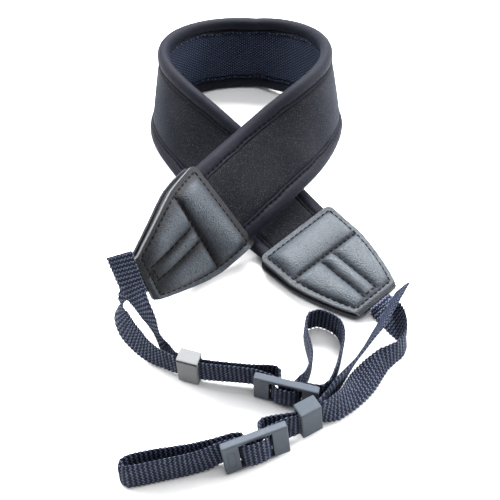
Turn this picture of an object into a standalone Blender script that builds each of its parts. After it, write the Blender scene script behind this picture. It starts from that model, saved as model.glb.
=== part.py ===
"""Camera neck strap, lying with its padded band on edge and its two ends crossed in front.

The band is one ribbon that bends and twists without stretching. Each half is traced from the middle of
the back, and the leather ends, webbing, keepers and buckles are placed on from there. Units are metres.
"""

import bisect
import math

import bmesh
import bpy
from mathutils import Matrix, Quaternion, Vector

MM = 0.001
UP = Vector((0, 0, 1))

# Clearances
GAP = 0.3 * MM
SLIDE = 0.35 * MM

# Padded band
BAND_LENGTH = 437 * MM
BAND_WIDTH = 40 * MM
ROLL_RADIUS = 3.0 * MM
ROLL_WALL = 1.0 * MM
ROLL_LIP = 4.0 * MM
FOAM_BULGE = 2.7 * MM
FOAM_SHOULDER = 2.2 * MM
FOAM_TONGUE = 2.0 * MM
LINING_THICKNESS = 1.0 * MM
BAND_STEP = 6.0 * MM

# How the band lies: the middle of its back, and the share of its length in the left half
LEFT_SHARE = 0.4714
BACK_TURN = math.radians(-8.5)
BACK_LEAN = math.radians(5.2)
BACK_PITCH = math.radians(-2.55)

# Bend and twist of each half from the middle of the back to its tip, in degrees for a whole half
BAND_FOLDS = (
    dict(share=0 / 6, left_bend=294, left_twist=-187, right_bend=157, right_twist=52),
    dict(share=1 / 6, left_bend=256, left_twist=95, right_bend=404, right_twist=-27),
    dict(share=2 / 6, left_bend=301, left_twist=83, right_bend=378, right_twist=-180),
    dict(share=3 / 6, left_bend=107, left_twist=218, right_bend=45, right_twist=-183),
    dict(share=4 / 6, left_bend=-70, left_twist=-66, right_bend=-75, right_twist=-163),
    dict(share=5 / 6, left_bend=-41, left_twist=-177, right_bend=-39, right_twist=-37),
    dict(share=6 / 6, left_bend=110, left_twist=-39, right_bend=11, right_twist=15),
)

# Leather ends
LEATHER_LENGTH = 50 * MM
LEATHER_WIDTH = 43.8 * MM
LEATHER_TIP_WIDTH = 23 * MM
LEATHER_WALL = 0.9 * MM
LEATHER_FLANGE = 2.8 * MM
LEATHER_PUFF = 1.8 * MM
LEATHER_FINGER = 7.5 * MM
LEATHER_LAP = 6.0 * MM
SQUEEZE = 0.60

# Outline and thickness of a leather end from its wide end to its fold. Width goes from the full width
# (1) to that of the tip (0), cavity from the squeezed band (1) to the webbing (0), and puff and finger
# are shares of the pillow height across the whole end and of the grooves that part its fingers.
LEATHER_SECTIONS = (
    dict(share=0.00, width=0.97, cavity=1.00, puff=0.00, finger=0.0),
    dict(share=0.03, width=1.00, cavity=1.00, puff=0.00, finger=0.0),
    dict(share=0.07, width=1.00, cavity=1.00, puff=0.10, finger=0.0),
    dict(share=0.14, width=1.00, cavity=1.00, puff=0.80, finger=0.0),
    dict(share=0.22, width=1.00, cavity=0.85, puff=1.00, finger=0.0),
    dict(share=0.32, width=1.00, cavity=0.70, puff=0.80, finger=0.0),
    dict(share=0.38, width=1.00, cavity=0.60, puff=0.12, finger=0.0),
    dict(share=0.44, width=0.96, cavity=0.50, puff=0.80, finger=1.0),
    dict(share=0.54, width=0.86, cavity=0.38, puff=1.00, finger=1.0),
    dict(share=0.66, width=0.69, cavity=0.22, puff=0.90, finger=1.0),
    dict(share=0.78, width=0.49, cavity=0.10, puff=0.75, finger=1.0),
    dict(share=0.88, width=0.29, cavity=0.00, puff=0.45, finger=1.0),
    dict(share=0.95, width=0.12, cavity=0.00, puff=0.00, finger=0.0),
    dict(share=1.00, width=0.00, cavity=0.00, puff=0.00, finger=0.0),
)

# Webbing
WEB_WIDTH = 12.5 * MM
WEB_THICKNESS = 1.4 * MM
WEB_TUCK = 12 * MM
WEB_STEP = 3.0 * MM
WEB_LAYER = WEB_THICKNESS + GAP
WEB_SLACK = WEB_THICKNESS / 2 + 1.4 * GAP
TAIL_HUMP = 2.2 * MM

# Tri-glide buckle
BUCKLE_LENGTH = 24.5 * MM
BUCKLE_THICKNESS = 3.0 * MM
BUCKLE_RAIL = 1.3 * MM
BUCKLE_WINDOW = 12.6 * MM
BAR_WIDTH = 2.5 * MM
BAR_THICKNESS = 1.15 * MM
BUCKLE_ROUND = 0.5 * MM
BUCKLE_HEIGHT = WEB_WIDTH + 2 * SLIDE + 2 * BUCKLE_RAIL

# Keeper
KEEPER_LENGTH = 8.5 * MM
KEEPER_WALL = 1.2 * MM
KEEPER_CAP = 0.9 * MM
KEEPER_ROUND = 0.5 * MM
KEEPER_HEIGHT = WEB_WIDTH + 2 * SLIDE + 2 * KEEPER_CAP
KEEPER_THICKNESS = WEB_LAYER + WEB_THICKNESS + 2 * GAP + 2 * KEEPER_WALL

# Where the fittings stand, from the middle between the two leather tips, in shares of STRAP_SPREAD.
# Heading is the way the webbing travels, lean tips the top backwards, dip lowers the far end, and lift
# is the height that the webbing holds it up by, in shares of WEB_WIDTH.
STRAP_SPREAD = 0.2288 * BAND_LENGTH
FITTINGS = dict(
    left_keeper=dict(x=-0.286, y=-0.332, heading=-16, lean=0, dip=0, lift=0.00),
    left_buckle=dict(x=0.080, y=-0.445, heading=-15, lean=-3, dip=0, lift=0.00),
    right_keeper=dict(x=0.158, y=-0.550, heading=208, lean=7, dip=3, lift=0.06),
    right_buckle=dict(x=-0.034, y=-0.668, heading=200, lean=10, dip=3, lift=0.00),
)

# Free runs of webbing. x and y are shares of STRAP_SPREAD from the leather tip, z is the height of the
# middle in shares of WEB_WIDTH, and up_x, up_y and up_z point towards the upper edge.
LEFT_RUN = (
    dict(x=-0.045, y=-0.037, z=1.38, up_x=-0.1, up_y=0.0, up_z=1.0),
    dict(x=-0.080, y=-0.063, z=1.14, up_x=0.2, up_y=-0.2, up_z=0.9),
    dict(x=-0.091, y=-0.106, z=0.90, up_x=0.5, up_y=-0.1, up_z=0.9),
    dict(x=-0.064, y=-0.160, z=0.72, up_x=0.6, up_y=-0.1, up_z=0.8),
    dict(x=-0.022, y=-0.209, z=0.64, up_x=0.4, up_y=0.1, up_z=0.9),
    dict(x=0.034, y=-0.262, z=0.60, up_x=0.2, up_y=0.1, up_z=1.0),
    dict(x=0.088, y=-0.295, z=0.60, up_x=0.1, up_y=0.0, up_z=1.0),
)
LEFT_TAIL = (
    dict(x=0.107, y=-0.263, z=0.69, up_x=0.1, up_y=0.0, up_z=1.0),
    dict(x=0.066, y=-0.212, z=1.02, up_x=0.1, up_y=-0.3, up_z=0.9),
    dict(x=0.024, y=-0.158, z=1.62, up_x=0.5, up_y=-0.3, up_z=0.8),
    dict(x=-0.029, y=-0.085, z=2.20, up_x=0.8, up_y=-0.2, up_z=0.5),
    dict(x=-0.072, y=-0.008, z=2.92, up_x=0.8, up_y=-0.1, up_z=0.5),
)
RIGHT_RUN = (
    dict(x=0.020, y=-0.022, z=0.26, up_x=0.8, up_y=0.5, up_z=0.3),
    dict(x=0.039, y=-0.061, z=0.37, up_x=0.6, up_y=0.3, up_z=0.7),
    dict(x=0.057, y=-0.108, z=0.45, up_x=0.5, up_y=0.2, up_z=0.8),
    dict(x=0.073, y=-0.161, z=0.52, up_x=0.2, up_y=0.1, up_z=1.0),
    dict(x=0.079, y=-0.210, z=0.53, up_x=-0.2, up_y=0.0, up_z=1.0),
    dict(x=0.046, y=-0.256, z=0.52, up_x=-0.4, up_y=-0.1, up_z=0.9),
    dict(x=-0.015, y=-0.295, z=0.49, up_x=-0.6, up_y=0.0, up_z=0.8),
    dict(x=-0.110, y=-0.394, z=0.45, up_x=-0.6, up_y=0.5, up_z=0.7),
    dict(x=-0.210, y=-0.502, z=0.64, up_x=-0.2, up_y=0.4, up_z=0.9),
)
RIGHT_TAIL = (
    dict(x=-0.262, y=-0.483, z=0.66, up_x=0.0, up_y=0.0, up_z=1.0),
    dict(x=-0.224, y=-0.438, z=0.74, up_x=0.0, up_y=0.1, up_z=1.0),
    dict(x=-0.102, y=-0.286, z=0.94, up_x=0.0, up_y=-0.4, up_z=0.9),
    dict(x=-0.025, y=-0.182, z=1.06, up_x=0.0, up_y=-0.6, up_z=0.8),
    dict(x=0.037, y=-0.083, z=1.14, up_x=0.0, up_y=-0.6, up_z=0.8),
    dict(x=0.081, y=-0.011, z=1.18, up_x=0.0, up_y=-0.6, up_z=0.8),
)

# Eyelet loops, in the buckle's own frame: along is from the buckle's far end and front from its middle
# plane, both in shares of LOOP_LENGTH, and the other columns are as above.
LOOP_LENGTH = 36 * MM
LEFT_LOOP = (
    dict(along=0.07, front=-0.16, z=0.58, up_x=0.0, up_y=0.0, up_z=1.0),
    dict(along=0.11, front=-0.33, z=0.54, up_x=0.0, up_y=0.0, up_z=1.0),
    dict(along=0.13, front=-0.51, z=0.53, up_x=0.0, up_y=0.0, up_z=1.0),
    dict(along=0.13, front=-0.67, z=0.52, up_x=0.0, up_y=0.0, up_z=1.0),
    dict(along=0.12, front=-0.83, z=0.52, up_x=0.0, up_y=0.0, up_z=1.0),
    dict(along=0.05, front=-0.96, z=0.52, up_x=0.0, up_y=0.0, up_z=1.0),
    dict(along=-0.08, front=-1.02, z=0.52, up_x=0.0, up_y=0.0, up_z=1.0),
    dict(along=-0.21, front=-1.03, z=0.52, up_x=0.0, up_y=0.0, up_z=1.0),
    dict(along=-0.30, front=-0.97, z=0.52, up_x=0.0, up_y=0.0, up_z=1.0),
    dict(along=-0.31, front=-0.84, z=0.52, up_x=0.0, up_y=0.0, up_z=1.0),
    dict(along=-0.26, front=-0.70, z=0.52, up_x=0.0, up_y=0.0, up_z=1.0),
    dict(along=-0.17, front=-0.49, z=0.53, up_x=0.0, up_y=0.0, up_z=1.0),
    dict(along=-0.16, front=-0.32, z=0.57, up_x=0.0, up_y=0.0, up_z=1.0),
    dict(along=-0.19, front=-0.19, z=0.62, up_x=0.0, up_y=0.0, up_z=1.0),
)
RIGHT_LOOP = (
    dict(along=0.12, front=-0.075, z=0.58, up_x=0.0, up_y=0.2, up_z=1.0),
    dict(along=0.28, front=-0.085, z=0.53, up_x=0.0, up_y=0.2, up_z=1.0),
    dict(along=0.53, front=-0.115, z=0.53, up_x=0.0, up_y=0.2, up_z=1.0),
    dict(along=0.80, front=-0.150, z=0.53, up_x=0.0, up_y=0.2, up_z=1.0),
    dict(along=0.92, front=-0.172, z=0.53, up_x=0.0, up_y=0.2, up_z=1.0),
    dict(along=0.97, front=-0.222, z=0.53, up_x=0.0, up_y=0.2, up_z=1.0),
    dict(along=0.92, front=-0.270, z=0.53, up_x=0.0, up_y=0.2, up_z=1.0),
    dict(along=0.70, front=-0.262, z=0.53, up_x=0.0, up_y=0.2, up_z=1.0),
    dict(along=0.45, front=-0.215, z=0.53, up_x=0.0, up_y=0.2, up_z=1.0),
    dict(along=0.21, front=-0.170, z=0.54, up_x=0.0, up_y=0.2, up_z=1.0),
    dict(along=0.02, front=-0.140, z=0.62, up_x=0.0, up_y=0.2, up_z=1.0),
    dict(along=-0.14, front=-0.128, z=0.66, up_x=0.0, up_y=0.2, up_z=1.0),
)

# Finishes: colour, roughness, metallic
FINISHES = dict(
    foam_cover=((0.010, 0.010, 0.011), 0.75, 0.0),
    rolled_edge=((0.012, 0.012, 0.015), 0.70, 0.0),
    knit_lining=((0.012, 0.015, 0.022), 0.85, 0.0),
    leatherette=((0.035, 0.045, 0.055), 0.38, 0.0),
    webbing=((0.016, 0.018, 0.028), 0.80, 0.0),
    plastic=((0.075, 0.085, 0.095), 0.42, 0.0),
)


def clear_scene():
    for thing in list(bpy.data.objects):
        bpy.data.objects.remove(thing, do_unlink=True)


def collection(name, hidden=False):
    made = bpy.data.collections.new(name)
    bpy.context.scene.collection.children.link(made)
    made.hide_render = hidden
    return made


def finish(name):
    colour, roughness, metallic = FINISHES[name]
    material = bpy.data.materials.get(name) or bpy.data.materials.new(name)
    material.use_nodes = True
    shader = material.node_tree.nodes["Principled BSDF"]
    shader.inputs["Base Color"].default_value = (*colour, 1)
    shader.inputs["Roughness"].default_value = roughness
    shader.inputs["Metallic"].default_value = metallic
    return material


def add_object(name, mesh, home, material):
    thing = bpy.data.objects.new(name, mesh)
    home.objects.link(thing)
    mesh.materials.append(finish(material))
    mesh.shade_smooth()
    mesh.set_sharp_from_angle(angle=math.radians(35))
    return thing


def grid_mesh(name, rows, around=False, capped=False):
    """A surface through rows of points. Around closes each row on itself, and capped fills both ends."""
    form = bmesh.new()
    lines = [[form.verts.new(point) for point in row] for row in rows]
    count = len(lines[0])
    for near, far in zip(lines, lines[1:]):
        for i in range(count if around else count - 1):
            j = (i + 1) % count
            form.faces.new((near[i], near[j], far[j], far[i]))
    if capped:
        form.faces.new(lines[0])
        form.faces.new(lines[-1])
    bmesh.ops.recalc_face_normals(form, faces=form.faces)
    mesh = bpy.data.meshes.new(name)
    form.to_mesh(mesh)
    form.free()
    return mesh


def thicken(thing, thickness, offset=0.0):
    skin = thing.modifiers.new("Wall", "SOLIDIFY")
    skin.thickness = thickness
    skin.offset = offset
    return thing


def cut(thing, cutter, operation="DIFFERENCE"):
    cutter.display_type = "WIRE"
    cutter.hide_render = True
    boolean = thing.modifiers.new(operation.title(), "BOOLEAN")
    boolean.operation = operation
    boolean.solver = "EXACT"
    boolean.object = cutter


def blend(table, share, column):
    """The value of a column between the table's rows."""
    for low, high in zip(table, table[1:]):
        if share <= high["share"]:
            part = (share - low["share"]) / (high["share"] - low["share"])
            return low[column] + (high[column] - low[column]) * max(part, 0)
    return table[-1][column]


class Ribbon:
    """A band's middle line with the way along it, across it and out of its inner face."""

    def __init__(self, marks, places, alongs, acrosses):
        self.marks = marks
        self.places = places
        self.alongs = alongs
        self.acrosses = acrosses
        self.length = marks[-1]

    def frame(self, distance):
        inside = min(max(distance, 0), self.length)
        low = min(bisect.bisect_right(self.marks, inside), len(self.marks) - 1) - 1
        part = (inside - self.marks[low]) / (self.marks[low + 1] - self.marks[low])
        along = self.alongs[low].lerp(self.alongs[low + 1], part).normalized()
        across = self.acrosses[low].lerp(self.acrosses[low + 1], part)
        across = (across - along * across.dot(along)).normalized()
        place = self.places[low].lerp(self.places[low + 1], part) + along * (distance - inside)
        return place, along, across

    def point(self, distance, width, depth):
        """A place on the band: width towards the upper edge, depth out of the inner face."""
        place, along, across = self.frame(distance)
        return place + across * width + along.cross(across) * depth


def trace_half(side, start, along, across, length):
    """Follows one half of the band from the middle of the back, bending and twisting by the table."""
    turn = -1 if side == "left" else 1
    steps = 120
    step = length / steps
    places, alongs, acrosses = [start], [along], [across]
    for i in range(steps):
        share = (i + 0.5) / steps
        bend = turn * math.radians(blend(BAND_FOLDS, share, side + "_bend")) / length
        twist = math.radians(blend(BAND_FOLDS, share, side + "_twist")) / length
        spin = alongs[-1] * twist + acrosses[-1] * bend
        half_turn = Quaternion(spin.normalized(), spin.length * step / 2)
        whole_turn = Quaternion(spin.normalized(), spin.length * step)
        places.append(places[-1] + (half_turn @ alongs[-1]) * step)
        alongs.append((whole_turn @ alongs[-1]).normalized())
        acrosses.append((whole_turn @ acrosses[-1]).normalized())
    return [step * i for i in range(steps + 1)], places, alongs, acrosses


def trace_band():
    """The whole band as one ribbon, from the right tip round the back to the left tip."""
    along = Vector((math.cos(BACK_TURN), math.sin(BACK_TURN), 0)) * math.cos(BACK_PITCH)
    along -= UP * math.sin(BACK_PITCH)
    up = Vector((0, math.sin(BACK_LEAN), math.cos(BACK_LEAN)))
    across = (up - along * up.dot(along)).normalized()
    start = UP * BAND_WIDTH / 2
    right = trace_half("right", start, -along, across, BAND_LENGTH * (1 - LEFT_SHARE))
    left = trace_half("left", start, along, across, BAND_LENGTH * LEFT_SHARE)
    middle = right[0][-1]
    marks = [middle - mark for mark in reversed(right[0])] + [middle + mark for mark in left[0][1:]]
    places = right[1][::-1] + left[1][1:]
    alongs = [-way for way in reversed(right[2])] + left[2][1:]
    acrosses = right[3][::-1] + left[3][1:]
    return Ribbon(marks, places, alongs, acrosses)


def squeeze_at(distance, band):
    """How far the leather ends press the band flat: 1 in the open, SQUEEZE inside a leather end."""
    mouth = min(distance, band.length - distance) - LEATHER_LENGTH
    ease = min(max(mouth / (2 * LEATHER_LAP), 0), 1)
    return SQUEEZE + (1 - SQUEEZE) * ease


def stations(start, end, step):
    count = max(2, math.ceil((end - start) / step))
    return [start + (end - start) * i / count for i in range(count + 1)]


def make_band(band, home):
    """The foam core, its two rolled edges and the lining on its inner face."""
    mouth = LEATHER_LENGTH + GAP
    open_part = stations(mouth, band.length - mouth, BAND_STEP)
    end = LEATHER_LENGTH - LEATHER_LAP
    whole = [end] + open_part + [band.length - end]
    roll_middle = BAND_WIDTH / 2 - ROLL_RADIUS
    lip = roll_middle - ROLL_LIP
    tongue_end = BAND_WIDTH / 2 - ROLL_WALL - GAP - ROLL_RADIUS / 4
    half_tongue = FOAM_TONGUE / 2
    side = (
        (lip - GAP, -FOAM_SHOULDER),
        (lip - GAP, -half_tongue),
        (tongue_end, -half_tongue),
        (tongue_end, half_tongue),
    )
    lining_edge = lip - 1.5 * GAP
    core_section = [(0, -FOAM_BULGE), (lip / 2, -(FOAM_BULGE + FOAM_SHOULDER) / 2)]
    core_section += side
    core_section += [(lining_edge, half_tongue), (lining_edge / 2, half_tongue), (0, half_tongue)]
    core_section += [(-w, n) for w, n in reversed(core_section) if w > 0]
    rows = []
    for distance in whole:
        flat = squeeze_at(distance, band)
        rows.append([band.point(distance, w, n * flat) for w, n in core_section])
    add_object("pad_core", grid_mesh("pad_core", rows, True, True), home, "foam_cover")

    mid_radius = ROLL_RADIUS - ROLL_WALL / 2
    lip_height = mid_radius - 0.1 * ROLL_RADIUS
    arc = [math.radians(angle) for angle in (-90, -45, 0, 45, 90)]
    roll_section = [(lip, -lip_height)]
    roll_section += [(roll_middle + mid_radius * math.cos(a), mid_radius * math.sin(a)) for a in arc]
    roll_section += [(lip, lip_height)]
    for name, sign in (("upper_binding", 1), ("lower_binding", -1)):
        rows = []
        for distance in whole:
            flat = squeeze_at(distance, band)
            rows.append([band.point(distance, sign * w, n * flat) for w, n in roll_section])
        binding = add_object(name, grid_mesh(name, rows), home, "rolled_edge")
        thicken(binding, ROLL_WALL)

    lining_depth = half_tongue + GAP + LINING_THICKNESS / 2
    rows = []
    for distance in open_part:
        widths = [lining_edge * part for part in (-1, -0.5, 0, 0.5, 1)]
        rows.append([band.point(distance, w, lining_depth) for w in widths])
    lining = add_object("mesh_lining", grid_mesh("mesh_lining", rows), home, "knit_lining")
    thicken(lining, LINING_THICKNESS)


def leather_depth(row, width, half_width):
    """Height of the front of a leather end above its flange, at one place across a section."""
    stitch = half_width - LEATHER_FLANGE
    inside = max(stitch - abs(width), 0)
    rise = min(inside / (0.22 * LEATHER_WIDTH), 1)
    height = math.sin(rise * math.pi / 2) if row["puff"] > 0 else rise
    groove = abs(abs(width) - LEATHER_FINGER / 2) / (LEATHER_FINGER / 2)
    parted = min(groove / 0.9, 1)
    height *= 1 - row["finger"] * (1 - math.sin(parted * math.pi / 2)) * 0.85
    return row["puff"] * height * LEATHER_PUFF


def make_leather_end(name, band, side, home, cutters):
    """A folded piece of leather: open where the band goes in, with a slot in its fold for the webbing."""
    cavity_wide = (ROLL_RADIUS - ROLL_WALL / 2) * SQUEEZE + ROLL_WALL / 2 + GAP
    cavity_tip = WEB_THICKNESS / 2 + GAP
    finger = LEATHER_FINGER / 2
    around = [(part, -1) for part in (-1, -0.5, 0, 0.5, 1)]
    around += [(part, 1) for part in (1, 0.5, 0, -0.5, -1)]
    rows = []
    pocket = []

    def spot(share, width, depth):
        distance = LEATHER_LENGTH * (1 - share)
        if side == "left":
            distance = band.length - distance
        return band.point(distance, width, depth)

    for row in LEATHER_SECTIONS:
        half_width = (LEATHER_TIP_WIDTH + (LEATHER_WIDTH - LEATHER_TIP_WIDTH) * row["width"]) / 2
        half_cavity = cavity_tip + (cavity_wide - cavity_tip) * row["cavity"]
        half_wall = half_cavity + LEATHER_WALL
        stitch = half_width - LEATHER_FLANGE
        right_side = [0, finger * 0.5, finger, (finger * 1.5 + stitch * 0.5) / 2]
        right_side += [stitch * 0.55 + finger * 0.45, stitch * 0.85 + finger * 0.15, stitch, half_width]
        across = [-w for w in reversed(right_side[1:])] + right_side
        front = [spot(row["share"], w, -half_wall - leather_depth(row, w, half_width)) for w in across]
        back = [spot(row["share"], half_width * part, half_wall) for part in (1, 0.5, 0, -0.5, -1)]
        rows.append(front + back)
        room = WEB_WIDTH / 2 + SLIDE
        band_room = BAND_WIDTH / 2 + GAP
        pocket_half = room + (band_room - room) * row["cavity"]
        pocket_half = min(pocket_half, half_width - LEATHER_WALL)
        pocket.append([spot(row["share"], a * pocket_half, b * half_cavity) for a, b in around])
    pocket.insert(0, [spot(-0.03, a * (BAND_WIDTH / 2 + GAP), b * cavity_wide) for a, b in around])
    pocket.append([spot(1.03, a * (WEB_WIDTH / 2 + SLIDE), b * cavity_tip) for a, b in around])
    leather = add_object(name, grid_mesh(name, rows, True, True), home, "leatherette")
    hole = add_object(name + "_pocket", grid_mesh(name + "_pocket", pocket, True, True), cutters, "leatherette")
    cut(leather, hole)


class Fitting:
    """Where a keeper or a buckle stands: along the webbing, up across it and out of its front."""

    def __init__(self, row, hub, size, front_sign):
        heading = math.radians(row["heading"])
        lean = math.radians(row["lean"])
        dip = math.radians(row["dip"])
        level = Vector((math.cos(heading), math.sin(heading), 0))
        facing = level.cross(UP) * front_sign
        self.along = level * math.cos(dip) - UP * math.sin(dip)
        upright = (UP - self.along * UP.dot(self.along)).normalized()
        self.up = (upright * math.cos(lean) - facing * math.sin(lean)).normalized()
        self.front = self.along.cross(self.up) * front_sign
        self.sign = front_sign
        reach = [abs(way.z) * full / 2 for way, full in zip((self.along, self.up, self.front), size)]
        place = hub + Vector((row["x"], row["y"], 0)) * STRAP_SPREAD
        self.place = Vector((place.x, place.y, sum(reach) + row["lift"] * WEB_WIDTH))
        self.level = level
        self.facing = facing

    def point(self, along, front):
        return self.place + self.along * along + self.front * front

    def matrix(self):
        turned = Matrix((self.along, self.up, self.along.cross(self.up))).transposed().to_4x4()
        turned.translation = self.place
        return turned


def box(name, size, centre, rounding, fitting, home):
    """A block in a fitting's frame, along, up and out of its front, with rounded edges."""
    form = bmesh.new()
    bmesh.ops.create_cube(form, size=1)
    bmesh.ops.scale(form, vec=size, verts=form.verts)
    if rounding:
        bmesh.ops.bevel(
            form,
            geom=list(form.edges),
            offset=rounding,
            segments=2,
            profile=0.5,
            affect="EDGES",
        )
    bmesh.ops.translate(form, vec=(centre[0], centre[1], centre[2] * fitting.sign), verts=form.verts)
    mesh = bpy.data.meshes.new(name)
    form.to_mesh(mesh)
    form.free()
    thing = add_object(name, mesh, home, "plastic")
    thing.matrix_world = fitting.matrix()
    return thing


def make_keeper(name, fitting, home, cutters):
    size = (KEEPER_LENGTH, KEEPER_HEIGHT, KEEPER_THICKNESS)
    keeper = box(name, size, (0, 0, 0), KEEPER_ROUND, fitting, home)
    hole = (KEEPER_LENGTH * 1.5, KEEPER_HEIGHT - 2 * KEEPER_CAP, KEEPER_THICKNESS - 2 * KEEPER_WALL)
    cut(keeper, box(name + "_way", hole, (0, 0, 0), 0, fitting, cutters))


def make_buckle(name, fitting, home, cutters):
    """A tri-glide: a frame with one window, and a thinner bar across the back of the window."""
    size = (BUCKLE_LENGTH, BUCKLE_HEIGHT, BUCKLE_THICKNESS)
    buckle = box(name, size, (0, 0, 0), BUCKLE_ROUND, fitting, home)
    window_height = BUCKLE_HEIGHT - 2 * BUCKLE_RAIL
    window = (BUCKLE_WINDOW, window_height, BUCKLE_THICKNESS * 2)
    cut(buckle, box(name + "_window", window, (0, 0, 0), 0, fitting, cutters))
    bar_size = (BAR_WIDTH, window_height + BUCKLE_RAIL, BAR_THICKNESS)
    bar = box(name + "_bar", bar_size, (0, 0, bar_depth()), BAR_THICKNESS * 0.3, fitting, cutters)
    cut(buckle, bar, "UNION")


def bar_depth():
    return -BUCKLE_THICKNESS / 2 + BAR_THICKNESS / 2 + GAP / 3


def weave_over_bar(layer, angles):
    """Half of a layer's way over the bar, from the outside inwards: along and front."""
    round_end = BAR_THICKNESS / 2
    radius = round_end + WEB_SLACK + layer * WEB_LAYER
    corner = BAR_WIDTH / 2 - round_end
    if layer:
        corner = BUCKLE_WINDOW / 2 - WEB_SLACK - radius
    turns = [math.radians(angle) for angle in angles]
    return [(corner + radius * math.sin(a), bar_depth() + radius * math.cos(a)) for a in turns]


def knot(place, up):
    return Vector(place), Vector(up).normalized()


def free_knots(rows, anchor):
    """Knots of a free run, from the tip that it belongs to."""
    knots = []
    for row in rows:
        place = anchor + Vector((row["x"], row["y"], 0)) * STRAP_SPREAD
        place.z = row["z"] * WEB_WIDTH
        knots.append(knot(place, (row["up_x"], row["up_y"], row["up_z"])))
    return knots


def loop_knots(rows, buckle):
    knots = []
    for row in rows:
        along = BUCKLE_LENGTH / 2 + row["along"] * LOOP_LENGTH
        place = buckle.place + buckle.level * along + buckle.facing * row["front"] * LOOP_LENGTH
        place.z = row["z"] * WEB_WIDTH
        knots.append(knot(place, (row["up_x"], row["up_y"], row["up_z"])))
    return knots


def webbing_knots(band, side, run, loop, tail, keeper, buckle):
    """Every knot of one webbing, from inside the leather end to its free end."""
    knots = []
    for inside in (WEB_TUCK, WEB_TUCK * 2 / 3, WEB_TUCK / 3, 0, -WEB_THICKNESS):
        place, _, across = band.frame(inside if side == "right" else band.length - inside)
        knots.append(knot(place, across))
    tip = knots[-2][0]
    knots += free_knots(run, tip)
    half_keeper = KEEPER_LENGTH / 2
    through = half_keeper + WEB_THICKNESS
    inside = (-through, -half_keeper, half_keeper, through)
    knots += [(keeper.point(d, WEB_LAYER / 2), keeper.up) for d in inside]

    half_window = BUCKLE_WINDOW / 2
    behind = -BUCKLE_THICKNESS / 2 - WEB_SLACK
    half_buckle = BUCKLE_LENGTH / 2
    turn = WEB_SLACK * (1 - math.sqrt(0.5))
    wing = [(half_buckle, behind - 1.5 * GAP), (half_window + WEB_THICKNESS, behind), (half_window, behind)]
    rise = [(half_window - WEB_SLACK + turn, behind + turn)]
    crown = weave_over_bar(1, (75, 45, 20, 0))
    half_way = wing + rise + crown
    main = [(-a, f) for a, f in half_way] + list(reversed(half_way))
    knots += [(buckle.point(a, f), buckle.up) for a, f in main]
    knots += loop_knots(loop, buckle)

    slot = weave_over_bar(0, (80, 40, 0))
    drop = slot[0][1]
    exit_side = [
        (slot[0][0] + WEB_LAYER * 0.75, drop - WEB_LAYER * 2.0),
        (slot[0][0] + WEB_LAYER * 0.3, drop - WEB_LAYER * 0.95),
    ]
    back = behind - WEB_LAYER
    hump = [
        (slot[0][0] + WEB_LAYER * 0.3, drop - WEB_LAYER * 1.1),
        (slot[0][0] + WEB_LAYER * 0.75, back - TAIL_HUMP * 0.55),
        (half_window * 0.85, back - TAIL_HUMP),
        (half_window + WEB_LAYER * 1.2, back - TAIL_HUMP * 0.85),
        (half_buckle + WEB_LAYER * 0.6, back - TAIL_HUMP * 0.3),
    ]
    tail_way = exit_side + slot + [(-a, f) for a, f in reversed(slot)] + [(-a, f) for a, f in hump]
    knots += [(buckle.point(a, f), buckle.up) for a, f in tail_way]
    knots += [(keeper.point(-d, -WEB_LAYER / 2), keeper.up) for d in inside]
    knots += free_knots(tail, tip)
    return knots


def smooth_route(knots):
    """Places and upper-edge directions along a smooth curve through the knots."""
    places = [place for place, _ in knots]
    ends = [places[0] * 2 - places[1]] + places + [places[-1] * 2 - places[-2]]
    ups = [up for _, up in knots]
    route = []
    for i in range(len(knots) - 1):
        p0, p1, p2, p3 = ends[i : i + 4]
        t1 = math.sqrt((p1 - p0).length)
        t2 = t1 + math.sqrt((p2 - p1).length)
        t3 = t2 + math.sqrt((p3 - p2).length)
        count = max(1, round((p2 - p1).length / WEB_STEP))
        last = i == len(knots) - 2
        for j in range(count + last):
            part = j / count
            t = t1 + (t2 - t1) * part
            a1 = p0.lerp(p1, t / t1)
            a2 = p1.lerp(p2, (t - t1) / (t2 - t1))
            a3 = p2.lerp(p3, (t - t2) / (t3 - t2))
            b1 = a1.lerp(a2, t / t2)
            b2 = a2.lerp(a3, (t - t1) / (t3 - t1))
            place = b1.lerp(b2, (t - t1) / (t2 - t1))
            ease = part * part * (3 - 2 * part)
            route.append((place, ups[i].lerp(ups[i + 1], ease)))
    return route


def make_webbing(name, knots, home):
    """A flat woven strip that follows its knots, as one open surface thickened on both sides."""
    route = smooth_route(knots)
    rows = []
    for i, (place, up) in enumerate(route):
        before = route[max(i - 1, 0)][0]
        after = route[min(i + 1, len(route) - 1)][0]
        along = (after - before).normalized()
        across = (up - along * up.dot(along)).normalized()
        rows.append([place - across * WEB_WIDTH / 2, place + across * WEB_WIDTH / 2])
    webbing = add_object(name, grid_mesh(name, rows), home, "webbing")
    thicken(webbing, WEB_THICKNESS)


def stand_on_floor(home):
    """Moves every piece so that the lowest point is at zero and the middle of the whole is at the origin."""
    bpy.context.view_layer.update()
    graph = bpy.context.evaluated_depsgraph_get()
    corners = []
    for thing in home.objects:
        shown = thing.evaluated_get(graph)
        corners += [shown.matrix_world @ vertex.co for vertex in shown.data.vertices]
    low = Vector([min(corner[axis] for corner in corners) for axis in range(3)])
    high = Vector([max(corner[axis] for corner in corners) for axis in range(3)])
    shift = Vector((-(low.x + high.x) / 2, -(low.y + high.y) / 2, -low.z))
    for thing in bpy.data.objects:
        thing.matrix_world = Matrix.Translation(shift) @ thing.matrix_world


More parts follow.
